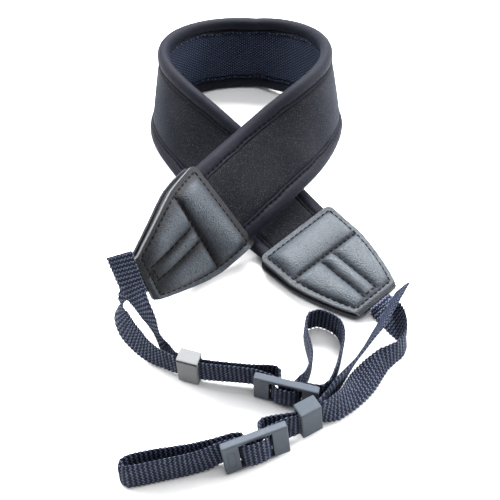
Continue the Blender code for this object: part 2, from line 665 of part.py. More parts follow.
def main():
    clear_scene()
    home = collection("camera_neck_strap")
    cutters = collection("cutters", hidden=True)
    band = trace_band()
    make_band(band, home)
    for side in ("left", "right"):
        make_leather_end(side + "_leather_end", band, side, home, cutters)
    hub = (band.places[0] + band.places[-1]) / 2
    keeper_size = (KEEPER_LENGTH, KEEPER_HEIGHT, KEEPER_THICKNESS)
    buckle_size = (BUCKLE_LENGTH, BUCKLE_HEIGHT, BUCKLE_THICKNESS)
    ways = dict(
        left=(1, LEFT_RUN, LEFT_LOOP, LEFT_TAIL),
        right=(-1, RIGHT_RUN, RIGHT_LOOP, RIGHT_TAIL),
    )
    for side, (front_sign, run, loop, tail) in ways.items():
        keeper = Fitting(FITTINGS[side + "_keeper"], hub, keeper_size, front_sign)
        buckle = Fitting(FITTINGS[side + "_buckle"], hub, buckle_size, front_sign)
        make_keeper(side + "_keeper", keeper, home, cutters)
        make_buckle(side + "_buckle", buckle, home, cutters)
        knots = webbing_knots(band, side, run, loop, tail, keeper, buckle)
        make_webbing(side + "_webbing", knots, home)
    stand_on_floor(home)


main()
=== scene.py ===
"""Looks of the camera neck strap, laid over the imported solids. Units are metres."""

import bisect
import math

import bmesh
import bpy
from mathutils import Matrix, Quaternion, Vector


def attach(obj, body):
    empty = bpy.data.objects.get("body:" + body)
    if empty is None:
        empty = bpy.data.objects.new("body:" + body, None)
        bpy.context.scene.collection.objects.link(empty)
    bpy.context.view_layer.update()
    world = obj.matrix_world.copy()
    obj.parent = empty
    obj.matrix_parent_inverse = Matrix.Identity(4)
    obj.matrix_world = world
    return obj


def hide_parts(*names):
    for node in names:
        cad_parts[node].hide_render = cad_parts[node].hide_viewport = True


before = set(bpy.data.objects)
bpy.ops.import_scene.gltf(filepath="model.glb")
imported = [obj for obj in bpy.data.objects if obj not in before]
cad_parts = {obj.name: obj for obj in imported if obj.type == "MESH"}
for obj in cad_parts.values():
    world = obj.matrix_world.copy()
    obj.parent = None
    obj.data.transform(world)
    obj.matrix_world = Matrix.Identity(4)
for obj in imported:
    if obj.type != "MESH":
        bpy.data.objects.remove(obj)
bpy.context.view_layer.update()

MM = 0.001
UP = Vector((0, 0, 1))


def rows_of(columns, *rows):
    """The rows of a table, each with its values under the names of the columns."""
    return [dict(zip(columns.split(), row)) for row in rows]



# Clearances
GAP = 0.3 * MM
SLIDE = 0.35 * MM

# Padded band
BAND_LENGTH = 437 * MM
BAND_WIDTH = 40 * MM
ROLL_RADIUS = 3.0 * MM
ROLL_WALL = 1.0 * MM
FOAM_BULGE = 2.7 * MM
FOAM_SHOULDER = 2.2 * MM
FOAM_TONGUE = 2.0 * MM
LINING_THICKNESS = 1.0 * MM

# How the band lies: the middle of its back, and the share of its length in the left half
LEFT_SHARE = 0.4714
BACK_TURN = math.radians(-8.5)
BACK_LEAN = math.radians(5.2)
BACK_PITCH = math.radians(-2.55)

# Bend and twist of each half from the middle of the back to its tip, in degrees for a whole half
BAND_FOLDS = rows_of(
    "share left_bend left_twist right_bend right_twist",
    (0 / 6, 294, -187, 157, 52),
    (1 / 6, 256, 95, 404, -27),
    (2 / 6, 301, 83, 378, -180),
    (3 / 6, 107, 218, 45, -183),
    (4 / 6, -70, -66, -75, -163),
    (5 / 6, -41, -177, -39, -37),
    (6 / 6, 110, -39, 11, 15),
)

# Leather ends
LEATHER_LENGTH = 50 * MM
LEATHER_WIDTH = 43.8 * MM
LEATHER_TIP_WIDTH = 23 * MM
LEATHER_WALL = 0.9 * MM
LEATHER_FINGER = 7.5 * MM
LEATHER_LAP = 6.0 * MM
SQUEEZE = 0.60

# Outline and thickness of a leather end from its wide end to its fold. Width goes from the full width
# (1) to that of the tip (0), and cavity from the squeezed band (1) to the webbing (0).
LEATHER_SECTIONS = rows_of(
    "share width cavity",
    (0.00, 0.97, 1.00),
    (0.03, 1.00, 1.00),
    (0.07, 1.00, 1.00),
    (0.14, 1.00, 1.00),
    (0.22, 1.00, 0.85),
    (0.32, 1.00, 0.70),
    (0.38, 1.00, 0.60),
    (0.44, 0.96, 0.50),
    (0.54, 0.86, 0.38),
    (0.66, 0.69, 0.22),
    (0.78, 0.49, 0.10),
    (0.88, 0.29, 0.00),
    (0.95, 0.12, 0.00),
    (1.00, 0.00, 0.00),
)

# Webbing
WEB_WIDTH = 12.5 * MM
WEB_THICKNESS = 1.4 * MM
WEB_TUCK = 12 * MM
WEB_STEP = 3.0 * MM
WEB_LAYER = WEB_THICKNESS + GAP
WEB_SLACK = WEB_THICKNESS / 2 + 1.4 * GAP
TAIL_HUMP = 2.2 * MM

# Tri-glide buckle
BUCKLE_LENGTH = 24.5 * MM
BUCKLE_THICKNESS = 3.0 * MM
BUCKLE_RAIL = 1.3 * MM
BUCKLE_WINDOW = 12.6 * MM
BAR_WIDTH = 2.5 * MM
BAR_THICKNESS = 1.15 * MM
BUCKLE_HEIGHT = WEB_WIDTH + 2 * SLIDE + 2 * BUCKLE_RAIL

# Keeper
KEEPER_LENGTH = 8.5 * MM
KEEPER_WALL = 1.2 * MM
KEEPER_CAP = 0.9 * MM
KEEPER_HEIGHT = WEB_WIDTH + 2 * SLIDE + 2 * KEEPER_CAP
KEEPER_THICKNESS = WEB_LAYER + WEB_THICKNESS + 2 * GAP + 2 * KEEPER_WALL

# Where the fittings stand, from the middle between the two leather tips, in shares of STRAP_SPREAD.
# Heading is the way the webbing travels, lean tips the top backwards, dip lowers the far end, and lift
# is the height that the webbing holds it up by, in shares of WEB_WIDTH.
STRAP_SPREAD = 0.2288 * BAND_LENGTH
FITTINGS = dict(
    left_keeper=dict(x=-0.286, y=-0.332, heading=-16, lean=0, dip=0, lift=0.00),
    left_buckle=dict(x=0.080, y=-0.445, heading=-15, lean=-3, dip=0, lift=0.00),
    right_keeper=dict(x=0.158, y=-0.550, heading=208, lean=7, dip=3, lift=0.06),
    right_buckle=dict(x=-0.034, y=-0.668, heading=200, lean=10, dip=3, lift=0.00),
)

# Free runs of webbing. x and y are shares of STRAP_SPREAD from the leather tip, z is the height of the
# middle in shares of WEB_WIDTH, and up_x, up_y and up_z point towards the upper edge.
LEFT_RUN = rows_of(
    "x y z up_x up_y up_z",
    (-0.045, -0.037, 1.38, -0.1, 0.0, 1.0),
    (-0.080, -0.063, 1.14, 0.2, -0.2, 0.9),
    (-0.091, -0.106, 0.90, 0.5, -0.1, 0.9),
    (-0.064, -0.160, 0.72, 0.6, -0.1, 0.8),
    (-0.022, -0.209, 0.64, 0.4, 0.1, 0.9),
    (0.034, -0.262, 0.60, 0.2, 0.1, 1.0),
    (0.088, -0.295, 0.60, 0.1, 0.0, 1.0),
)
LEFT_TAIL = rows_of(
    "x y z up_x up_y up_z",
    (0.107, -0.263, 0.69, 0.1, 0.0, 1.0),
    (0.066, -0.212, 1.02, 0.1, -0.3, 0.9),
    (0.024, -0.158, 1.62, 0.5, -0.3, 0.8),
    (-0.029, -0.085, 2.20, 0.8, -0.2, 0.5),
    (-0.072, -0.008, 2.92, 0.8, -0.1, 0.5),
)
RIGHT_RUN = rows_of(
    "x y z up_x up_y up_z",
    (0.020, -0.022, 0.26, 0.8, 0.5, 0.3),
    (0.039, -0.061, 0.37, 0.6, 0.3, 0.7),
    (0.057, -0.108, 0.45, 0.5, 0.2, 0.8),
    (0.073, -0.161, 0.52, 0.2, 0.1, 1.0),
    (0.079, -0.210, 0.53, -0.2, 0.0, 1.0),
    (0.046, -0.256, 0.52, -0.4, -0.1, 0.9),
    (-0.015, -0.295, 0.49, -0.6, 0.0, 0.8),
    (-0.110, -0.394, 0.45, -0.6, 0.5, 0.7),
    (-0.210, -0.502, 0.64, -0.2, 0.4, 0.9),
)
RIGHT_TAIL = rows_of(
    "x y z up_x up_y up_z",
    (-0.262, -0.483, 0.66, 0.0, 0.0, 1.0),
    (-0.224, -0.438, 0.74, 0.0, 0.1, 1.0),
    (-0.102, -0.286, 0.94, 0.0, -0.4, 0.9),
    (-0.025, -0.182, 1.06, 0.0, -0.6, 0.8),
    (0.037, -0.083, 1.14, 0.0, -0.6, 0.8),
    (0.081, -0.011, 1.18, 0.0, -0.6, 0.8),
)

# Eyelet loops, in the buckle's own frame: along is from the buckle's far end and front from its middle
# plane, both in shares of LOOP_LENGTH, and z is as above. LOOP_UP points towards the upper edge.
LOOP_LENGTH = 36 * MM
LOOP_UP = dict(left=(0.0, 0.0, 1.0), right=(0.0, 0.2, 1.0))
LEFT_LOOP = rows_of(
    "along front z",
    (0.07, -0.16, 0.58),
    (0.11, -0.33, 0.54),
    (0.13, -0.51, 0.53),
    (0.13, -0.67, 0.52),
    (0.12, -0.83, 0.52),
    (0.05, -0.96, 0.52),
    (-0.08, -1.02, 0.52),
    (-0.21, -1.03, 0.52),
    (-0.30, -0.97, 0.52),
    (-0.31, -0.84, 0.52),
    (-0.26, -0.70, 0.52),
    (-0.17, -0.49, 0.53),
    (-0.16, -0.32, 0.57),
    (-0.19, -0.19, 0.62),
)
RIGHT_LOOP = rows_of(
    "along front z",
    (0.12, -0.075, 0.58),
    (0.28, -0.085, 0.53),
    (0.53, -0.115, 0.53),
    (0.80, -0.150, 0.53),
    (0.92, -0.172, 0.53),
    (0.97, -0.222, 0.53),
    (0.92, -0.270, 0.53),
    (0.70, -0.262, 0.53),
    (0.45, -0.215, 0.53),
    (0.21, -0.170, 0.54),
    (0.02, -0.140, 0.62),
    (-0.14, -0.128, 0.66),
)

# Where the middle of the band's back stands, and how far the fittings are raised with it
BAND_START = Vector((-0.177, 114.315, 20.328)) * MM
FLOOR_LIFT = 0.328 * MM


def blend(table, share, column):
    """The value of a column between the table's rows."""
    for low, high in zip(table, table[1:]):
        if share <= high["share"]:
            part = (share - low["share"]) / (high["share"] - low["share"])
            return low[column] + (high[column] - low[column]) * max(part, 0)
    return table[-1][column]


class Ribbon:
    """A band's middle line with the way along it, across it and out of its inner face."""

    def __init__(self, marks, places, alongs, acrosses):
        self.marks = marks
        self.places = places
        self.alongs = alongs
        self.acrosses = acrosses
        self.length = marks[-1]

    def frame(self, distance):
        inside = min(max(distance, 0), self.length)
        low = min(bisect.bisect_right(self.marks, inside), len(self.marks) - 1) - 1
        part = (inside - self.marks[low]) / (self.marks[low + 1] - self.marks[low])
        along = self.alongs[low].lerp(self.alongs[low + 1], part).normalized()
        across = self.acrosses[low].lerp(self.acrosses[low + 1], part)
        across = (across - along * across.dot(along)).normalized()
        place = self.places[low].lerp(self.places[low + 1], part) + along * (distance - inside)
        return place, along, across

    def point(self, distance, width, depth):
        """A place on the band: width towards the upper edge, depth out of the inner face."""
        place, along, across = self.frame(distance)
        return place + across * width + along.cross(across) * depth


def trace_half(side, start, along, across, length):
    """Follows one half of the band from the middle of the back, bending and twisting by the table."""
    turn = -1 if side == "left" else 1
    steps = 120
    step = length / steps
    places, alongs, acrosses = [start], [along], [across]
    for i in range(steps):
        share = (i + 0.5) / steps
        bend = turn * math.radians(blend(BAND_FOLDS, share, side + "_bend")) / length
        twist = math.radians(blend(BAND_FOLDS, share, side + "_twist")) / length
        spin = alongs[-1] * twist + acrosses[-1] * bend
        half_turn = Quaternion(spin.normalized(), spin.length * step / 2)
        whole_turn = Quaternion(spin.normalized(), spin.length * step)
        places.append(places[-1] + (half_turn @ alongs[-1]) * step)
        alongs.append((whole_turn @ alongs[-1]).normalized())
        acrosses.append((whole_turn @ acrosses[-1]).normalized())
    return [step * i for i in range(steps + 1)], places, alongs, acrosses


def trace_band():
    """The whole band as one ribbon, from the right tip round the back to the left tip."""
    along = Vector((math.cos(BACK_TURN), math.sin(BACK_TURN), 0)) * math.cos(BACK_PITCH)
    along -= UP * math.sin(BACK_PITCH)
    up = Vector((0, math.sin(BACK_LEAN), math.cos(BACK_LEAN)))
    across = (up - along * up.dot(along)).normalized()
    right = trace_half("right", BAND_START, -along, across, BAND_LENGTH * (1 - LEFT_SHARE))
    left = trace_half("left", BAND_START, along, across, BAND_LENGTH * LEFT_SHARE)
    middle = right[0][-1]
    marks = [middle - mark for mark in reversed(right[0])] + [middle + mark for mark in left[0][1:]]
    places = right[1][::-1] + left[1][1:]
    alongs = [-way for way in reversed(right[2])] + left[2][1:]
    acrosses = right[3][::-1] + left[3][1:]
    return Ribbon(marks, places, alongs, acrosses)


def squeeze_at(distance, band):
    """How far the leather ends press the band flat: 1 in the open, SQUEEZE inside a leather end."""
    mouth = min(distance, band.length - distance) - LEATHER_LENGTH
    ease = min(max(mouth / (2 * LEATHER_LAP), 0), 1)
    return SQUEEZE + (1 - SQUEEZE) * ease


def stations(start, end, step):
    count = max(2, math.ceil((end - start) / step))
    return [start + (end - start) * i / count for i in range(count + 1)]


class Fitting:
    """Where a keeper or a buckle stands: along the webbing, up across it and out of its front."""

    def __init__(self, row, hub, size, front_sign):
        heading = math.radians(row["heading"])
        lean = math.radians(row["lean"])
        dip = math.radians(row["dip"])
        level = Vector((math.cos(heading), math.sin(heading), 0))
        facing = level.cross(UP) * front_sign
        self.along = level * math.cos(dip) - UP * math.sin(dip)
        upright = (UP - self.along * UP.dot(self.along)).normalized()
        self.up = (upright * math.cos(lean) - facing * math.sin(lean)).normalized()
        self.front = self.along.cross(self.up) * front_sign
        reach = [abs(way.z) * full / 2 for way, full in zip((self.along, self.up, self.front), size)]
        place = hub + Vector((row["x"], row["y"], 0)) * STRAP_SPREAD
        self.place = Vector((place.x, place.y, sum(reach) + row["lift"] * WEB_WIDTH))
        self.level = level
        self.facing = facing

    def point(self, along, front):
        return self.place + self.along * along + self.front * front


def bar_depth():
    return -BUCKLE_THICKNESS / 2 + BAR_THICKNESS / 2 + GAP / 3


def weave_over_bar(layer, angles):
    """Half of a layer's way over the bar, from the outside inwards: along and front."""
    round_end = BAR_THICKNESS / 2
    radius = round_end + WEB_SLACK + layer * WEB_LAYER
    corner = BAR_WIDTH / 2 - round_end
    if layer:
        corner = BUCKLE_WINDOW / 2 - WEB_SLACK - radius
    turns = [math.radians(angle) for angle in angles]
    return [(corner + radius * math.sin(a), bar_depth() + radius * math.cos(a)) for a in turns]


def knot(place, up):
    return Vector(place), Vector(up).normalized()


def free_knots(rows, anchor):
    """Knots of a free run, from the tip that it belongs to."""
    knots = []
    for row in rows:
        place = anchor + Vector((row["x"], row["y"], 0)) * STRAP_SPREAD
        place.z = row["z"] * WEB_WIDTH
        knots.append(knot(place, (row["up_x"], row["up_y"], row["up_z"])))
    return knots


def loop_knots(rows, up, buckle):
    knots = []
    for row in rows:
        along = BUCKLE_LENGTH / 2 + row["along"] * LOOP_LENGTH
        place = buckle.place + buckle.level * along + buckle.facing * row["front"] * LOOP_LENGTH
        place.z = row["z"] * WEB_WIDTH
        knots.append(knot(place, up))
    return knots


def webbing_knots(band, side, run, loop, tail, keeper, buckle):
    """Every knot of one webbing, from inside the leather end to its free end."""
    knots = []
    for inside in (WEB_TUCK, WEB_TUCK * 2 / 3, WEB_TUCK / 3, 0, -WEB_THICKNESS):
        place, _, across = band.frame(inside if side == "right" else band.length - inside)
        knots.append(knot(place, across))
    tip = knots[-2][0]
    knots += free_knots(run, tip)
    half_keeper = KEEPER_LENGTH / 2
    through = half_keeper + WEB_THICKNESS
    inside = (-through, -half_keeper, half_keeper, through)
    knots += [(keeper.point(d, WEB_LAYER / 2), keeper.up) for d in inside]

    half_window = BUCKLE_WINDOW / 2
    behind = -BUCKLE_THICKNESS / 2 - WEB_SLACK
    half_buckle = BUCKLE_LENGTH / 2
    turn = WEB_SLACK * (1 - math.sqrt(0.5))
    wing = [(half_buckle, behind - 1.5 * GAP), (half_window + WEB_THICKNESS, behind), (half_window, behind)]
    rise = [(half_window - WEB_SLACK + turn, behind + turn)]
    crown = weave_over_bar(1, (75, 45, 20, 0))
    half_way = wing + rise + crown
    main = [(-a, f) for a, f in half_way] + list(reversed(half_way))
    knots += [(buckle.point(a, f), buckle.up) for a, f in main]
    knots += loop_knots(loop, LOOP_UP[side], buckle)

    slot = weave_over_bar(0, (80, 40, 0))
    drop = slot[0][1]
    exit_side = [
        (slot[0][0] + WEB_LAYER * 0.75, drop - WEB_LAYER * 2.0),
        (slot[0][0] + WEB_LAYER * 0.3, drop - WEB_LAYER * 0.95),
    ]
    back = behind - WEB_LAYER
    hump = [
        (slot[0][0] + WEB_LAYER * 0.3, drop - WEB_LAYER * 1.1),
        (slot[0][0] + WEB_LAYER * 0.75, back - TAIL_HUMP * 0.55),
        (half_window * 0.85, back - TAIL_HUMP),
        (half_window + WEB_LAYER * 1.2, back - TAIL_HUMP * 0.85),
        (half_buckle + WEB_LAYER * 0.6, back - TAIL_HUMP * 0.3),
    ]
    tail_way = exit_side + slot + [(-a, f) for a, f in reversed(slot)] + [(-a, f) for a, f in hump]
    knots += [(buckle.point(a, f), buckle.up) for a, f in tail_way]
    knots += [(keeper.point(-d, -WEB_LAYER / 2), keeper.up) for d in inside]
    knots += free_knots(tail, tip)
    return knots


def smooth_route(knots):
    """Places and upper-edge directions along a smooth curve through the knots."""
    places = [place for place, _ in knots]
    ends = [places[0] * 2 - places[1]] + places + [places[-1] * 2 - places[-2]]
    ups = [up for _, up in knots]
    route = []
    for i in range(len(knots) - 1):
        p0, p1, p2, p3 = ends[i : i + 4]
        t1 = math.sqrt((p1 - p0).length)
        t2 = t1 + math.sqrt((p2 - p1).length)
        t3 = t2 + math.sqrt((p3 - p2).length)
        count = max(1, round((p2 - p1).length / WEB_STEP))
        last = i == len(knots) - 2
        for j in range(count + last):
            part = j / count
            t = t1 + (t2 - t1) * part
            a1 = p0.lerp(p1, t / t1)
            a2 = p1.lerp(p2, (t - t1) / (t2 - t1))
            a3 = p2.lerp(p3, (t - t2) / (t3 - t2))
            b1 = a1.lerp(a2, t / t2)
            b2 = a2.lerp(a3, (t - t1) / (t3 - t1))
            place = b1.lerp(b2, (t - t1) / (t2 - t1))
            ease = part * part * (3 - 2 * part)
            route.append((place, ups[i].lerp(ups[i + 1], ease)))
    return route


# Stitches, seams and weave
STITCH_PITCH = 2.8 * MM
STITCH_LENGTH = 2.1 * MM
STITCH_RADIUS = 0.3 * MM
STITCH_PROFILE = ((0, -0.9, 0.6), (0.18, 0.25, 1.0), (0.5, 0.5, 1.0), (0.82, 0.25, 1.0), (1, -0.9, 0.6))
SEAM = 14.2 * MM
RIB_PITCH = 1.7 * MM
PILLOW = 3.4 * MM
GROOVE = 0.55 * MM
WANDER = 0.16 * MM
CURL = 1.2 * MM
YARN_PITCH = 0.9 * MM
ZIGZAG = 0.10
MESH_CELL = 1.15
FOAM_LIP = 13.0 * MM
TONGUE_REACH = 16 * MM
LINING_EDGE = 12.9 * MM

# Seams and fold of a leather end in shares of its length, how much thinner the fold is, and its grid
MOUTH_SEAM = 0.055
TRANSVERSE = 0.38
TIP_SEAM = 0.935
FOLD_START = 0.955
FOLD_RUN = 0.045
FOLD_PINCH = 0.45
SEAM_INSET = 2.6 * MM
LEATHER_ROWS = 110
LEATHER_COLUMNS = 64


def finished_mesh(name, form):
    """The form as a mesh, with its faces turned outwards."""
    bmesh.ops.recalc_face_normals(form, faces=form.faces)
    mesh = bpy.data.meshes.new(name)
    form.to_mesh(mesh)
    form.free()
    return mesh


def mesh_from_rows(name, rows, around=False, uvs=None, capped=False):
    """A surface through rows of points, with texture coordinates in millimetres if they are given."""
    form = bmesh.new()
    layer = form.loops.layers.uv.new("span")
    lines = [[form.verts.new(point) for point in row] for row in rows]
    count = len(lines[0])
    for r in range(len(lines) - 1):
        near, far = lines[r], lines[r + 1]
        for i in range(count if around else count - 1):
            j = (i + 1) % count
            face = form.faces.new((near[i], near[j], far[j], far[i]))
            face.smooth = True
            if uvs:
                across, along = uvs
                spots = ((r, i), (r, i + 1), (r + 1, i + 1), (r + 1, i))
                for loop, (a, b) in zip(face.loops, spots):
                    loop[layer].uv = (along[a], across[b])
    if capped:
        for line in (lines[0], lines[-1]):
            form.faces.new(line)
    return finished_mesh(name, form)


def swept_mesh(name, rows, section, marks):
    """A closed skin through rows of points, with a mark along the piece for each row."""
    return mesh_from_rows(name, rows, True, (arc_marks(section), [mark / MM for mark in marks]), True)


def put(name, mesh, material, replaced=()):
    thing = bpy.data.objects.new(name, mesh)
    bpy.context.scene.collection.objects.link(thing)
    mesh.materials.append(material)
    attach(thing, "root")
    if replaced:
        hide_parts(*replaced)
    return thing


def arc_marks(section):
    """Running length round a section, in millimetres, with one more mark where it closes."""
    marks = [0.0]
    for (a, b), (c, d) in zip(section, section[1:] + section[:1]):
        marks.append(marks[-1] + math.hypot(c - a, d - b) / MM)
    return marks


# Materials
class Nodes:
    """Short calls for building a node material."""

    def __init__(self, name):
        self.material = bpy.data.materials.new(name)
        self.material.use_nodes = True
        self.tree = self.material.node_tree
        self.shader = self.tree.nodes["Principled BSDF"]

    def add(self, kind, **values):
        node = self.tree.nodes.new(kind)
        for key, value in values.items():
            setattr(node, key, value)
        return node

    def link(self, a, b):
        self.tree.links.new(a, b)

    def object_coords(self):
        return self.add("ShaderNodeTexCoord").outputs["Object"]

    def uv(self):
        node = self.add("ShaderNodeUVMap", uv_map="span")
        parts = self.add("ShaderNodeSeparateXYZ")
        self.link(node.outputs[0], parts.inputs[0])
        return parts.outputs["X"], parts.outputs["Y"]

    def math(self, operation, a, b=None):
        node = self.add("ShaderNodeMath", operation=operation)
        for socket, value in zip(node.inputs, (a, b)):
            if value is None:
                continue
            if isinstance(value, (int, float)):
                socket.default_value = value
            else:
                self.link(value, socket)
        return node.outputs[0]

    def wave(self, value, period, phase=0.0):
        """A sine from 0 to 1 with the given period in millimetres."""
        turned = self.math("MULTIPLY", value, 2 * math.pi / period)
        turned = self.math("ADD", turned, phase)
        return self.math("MULTIPLY", self.math("ADD", self.math("SINE", turned), 1.0), 0.5)

    def noise(self, scale, detail=3.0, roughness=0.5):
        node = self.add("ShaderNodeTexNoise")
        node.inputs["Scale"].default_value = scale
        node.inputs["Detail"].default_value = detail
        node.inputs["Roughness"].default_value = roughness
        self.link(self.object_coords(), node.inputs["Vector"])
        return node.outputs["Fac"]

    def cells(self, scale):
        node = self.add("ShaderNodeTexVoronoi")
        node.inputs["Scale"].default_value = scale
        self.link(self.object_coords(), node.inputs["Vector"])
        return node.outputs["Distance"]

    def ramp(self, value, stops):
        node = self.add("ShaderNodeValToRGB")
        elements = node.color_ramp.elements
        while len(elements) < len(stops):
            elements.new(0.5)
        for element, (place, colour) in zip(elements, stops):
            element.position = place
            element.color = (*colour, 1) if hasattr(colour, "__len__") else (colour,) * 3 + (1,)
        self.link(value, node.inputs[0])
        return node.outputs[0]

    def bump(self, height, distance, strength):
        node = self.add("ShaderNodeBump")
        node.inputs["Strength"].default_value = strength
        node.inputs["Distance"].default_value = distance
        self.link(height, node.inputs["Height"])
        return node.outputs[0]

    def finish(self, colour, roughness, normal, sheen, specular):
        pairs = (("Base Color", colour), ("Roughness", roughness), ("Normal", normal))
        for name, value in pairs:
            if value is None:
                continue
            socket = self.shader.inputs[name]
            if isinstance(value, (int, float)):
                socket.default_value = value
            elif isinstance(value, tuple):
                socket.default_value = (*value, 1)
            else:
                self.link(value, socket)
        self.shader.inputs["Specular IOR Level"].default_value = specular
        self.shader.inputs["Sheen Weight"].default_value = sheen
        self.shader.inputs["Sheen Roughness"].default_value = 0.5
        self.shader.inputs["Sheen Tint"].default_value = (0.35, 0.5, 0.9, 1)
        return self.material


def cover_material():
    """Black stretch cover with fine lint on it."""
    m = Nodes("cover_cloth")
    u, v = m.uv()
    knit = m.math("MULTIPLY", m.wave(u, 0.55), m.wave(v, 0.45))
    lint = m.noise(2600, 4.0, 0.75)
    broad = m.noise(60, 2.0)
    colour = m.ramp(
        lint,
        ((0.40, (0.0008, 0.0010, 0.0020)), (0.56, (0.0028, 0.0035, 0.0070)), (0.72, (0.080, 0.076, 0.072))),
    )
    rough = m.ramp(broad, ((0.3, 0.62), (0.7, 0.8)))
    height = m.math("ADD", m.math("MULTIPLY", knit, 0.5), lint)
    return m.finish(colour, rough, m.bump(height, 0.00018, 0.8), 0.06, 0.1)


def roll_material():
    """The same cloth drawn tight round the edges, smoother and a little bluer."""
    m = Nodes("edge_cloth")
    u, v = m.uv()
    knit = m.math("MULTIPLY", m.wave(u, 0.6), m.wave(v, 0.5))
    lint = m.noise(2400, 4.0, 0.7)
    pucker = m.noise(350, 2.0)
    colour = m.ramp(
        lint,
        ((0.42, (0.0008, 0.0010, 0.0032)), (0.62, (0.0026, 0.0036, 0.012)), (0.78, (0.022, 0.028, 0.052))),
    )
    height = m.math("ADD", m.math("MULTIPLY", knit, 0.4), m.math("MULTIPLY", pucker, 1.6))
    return m.finish(colour, 0.66, m.bump(height, 0.0002, 0.6), 0.03, 0.16)


def lining_material():
    """Open knitted mesh: rows of small holes between raised yarns."""
    m = Nodes("mesh_knit")
    u, v = m.uv()
    wobble = m.math("MULTIPLY", m.noise(140, 2.0), 0.9)
    along = m.math("ADD", u, wobble)
    across = m.math("ADD", v, wobble)
    wale = m.math("SIGN", m.math("SINE", m.math("MULTIPLY", along, math.pi / MESH_CELL)))
    across = m.math("ADD", across, m.math("MULTIPLY", wale, MESH_CELL * 0.30))
    columns = m.math("ABSOLUTE", m.math("SINE", m.math("MULTIPLY", along, math.pi / MESH_CELL)))
    holes = m.math("MULTIPLY", columns, m.wave(across, MESH_CELL * 1.3, 0.6))
    yarn = m.noise(3200, 3.0, 0.6)
    mixed = m.math("ADD", m.math("MULTIPLY", holes, 0.85), m.math("MULTIPLY", yarn, 0.25))
    colour = m.ramp(
        mixed,
        ((0.08, (0.002, 0.003, 0.008)), (0.45, (0.012, 0.018, 0.036)), (0.95, (0.046, 0.062, 0.105))),
    )
    return m.finish(colour, 0.85, m.bump(mixed, 0.00045, 0.9), 0.0, 0.15)


def leather_material():
    """Dark slate leatherette with a fine pebbled grain, and painted shade in its colour from a mesh
    attribute: darker in the grooves where the stitches pull it down.
    """
    m = Nodes("pebbled_leatherette")
    painted_shade = m.add("ShaderNodeAttribute", attribute_name="painted_shade").outputs["Fac"]
    grain = m.cells(1500)
    fine = m.noise(5200, 3.0, 0.6)
    broad = m.noise(90, 3.0)
    pebbles = m.math("ADD", m.math("MULTIPLY", grain, 0.8), m.math("MULTIPLY", fine, 0.25))
    # Painted shade from the attribute, plus broad random tone and the grain.
    depth = m.math("ADD", painted_shade, m.math("MULTIPLY", m.math("SUBTRACT", broad, 0.5), 0.3))
    depth = m.math("ADD", depth, m.math("MULTIPLY", m.math("SUBTRACT", grain, 0.4), 0.35))
    colour = m.ramp(
        depth,
        ((0.04, (0.036, 0.047, 0.058)), (0.30, (0.011, 0.016, 0.026)), (0.72, (0.0008, 0.0014, 0.004))),
    )
    rough = m.ramp(depth, ((0.0, 0.46), (0.5, 0.74)))
    return m.finish(colour, rough, m.bump(pebbles, 0.00038, 0.75), 0.0, 0.45)


def edge_material(name, dark, light):
    """Cut edge and backing cloth of the leatherette."""
    m = Nodes(name)
    fibre = m.noise(2800, 4.0, 0.7)
    colour = m.ramp(fibre, ((0.35, dark), (0.75, light)))
    return m.finish(colour, 0.8, m.bump(fibre, 0.0002, 0.7), 0.1, 0.3)


def thread_material():
    m = Nodes("sewing_thread")
    ply = m.noise(4200, 3.0)
    colour = m.ramp(ply, ((0.35, (0.0015, 0.0015, 0.003)), (0.75, (0.008, 0.008, 0.013))))
    return m.finish(colour, 0.7, m.bump(ply, 0.00008, 0.5), 0.0, 0.15)


def webbing_material():
    """Blue-black webbing: ribs of short yarns set zigzag, paler on the tops of the ribs."""
    m = Nodes("ribbed_webbing")
    u, v = m.uv()
    pitch = YARN_PITCH / MM
    side = m.math("SIGN", m.math("SINE", m.math("MULTIPLY", v, math.pi / pitch)))
    shifted = m.math("ADD", u, m.math("MULTIPLY", side, ZIGZAG * RIB_PITCH / MM))
    ribs = m.wave(shifted, RIB_PITCH / MM, -math.pi / 2)
    yarns = m.math("ABSOLUTE", m.math("SINE", m.math("MULTIPLY", v, math.pi / pitch)))
    fuzz = m.noise(3400, 4.0, 0.75)
    blotch = m.noise(700, 2.0)
    weave = m.math("MULTIPLY", ribs, m.math("ADD", m.math("MULTIPLY", yarns, 0.75), 0.25))
    mixed = m.math("ADD", m.math("MULTIPLY", weave, 0.5), m.math("MULTIPLY", fuzz, 0.5))
    mixed = m.math("ADD", mixed, m.math("MULTIPLY", m.math("SUBTRACT", blotch, 0.5), 0.3))
    colour = m.ramp(
        mixed,
        ((0.20, (0.002, 0.003, 0.009)), (0.48, (0.012, 0.018, 0.042)), (0.84, (0.20, 0.22, 0.27))),
    )
    return m.finish(colour, 0.8, m.bump(fuzz, 0.00035, 0.9), 0.02, 0.12)


def plastic_material(name, base, rough):
    m = Nodes(name)
    mottle = m.noise(900, 3.0)
    fine = m.noise(6000, 2.0)
    dark = tuple(value * 0.88 for value in base)
    colour = m.ramp(mottle, ((0.3, dark), (0.7, base)))
    roughness = m.ramp(mottle, ((0.3, rough * 0.85), (0.7, rough * 1.15)))
    return m.finish(colour, roughness, m.bump(fine, 0.00003, 0.4), 0.0, 0.3)


# The padded band
def running_marks(path):
    """The length run at each (place, direction) pair of a path."""
    marks = [0.0]
    for (a, _), (b, _) in zip(path, path[1:]):
        marks.append(marks[-1] + (b - a).length)
    return marks


def pair_at(path, marks, mark):
    """The place and direction at a running length."""
    i = min(max(bisect.bisect_right(marks, mark), 1), len(marks) - 1)
    part = (mark - marks[i - 1]) / max(marks[i] - marks[i - 1], 1e-12)
    return path[i - 1][0].lerp(path[i][0], part), path[i - 1][1].lerp(path[i][1], part)


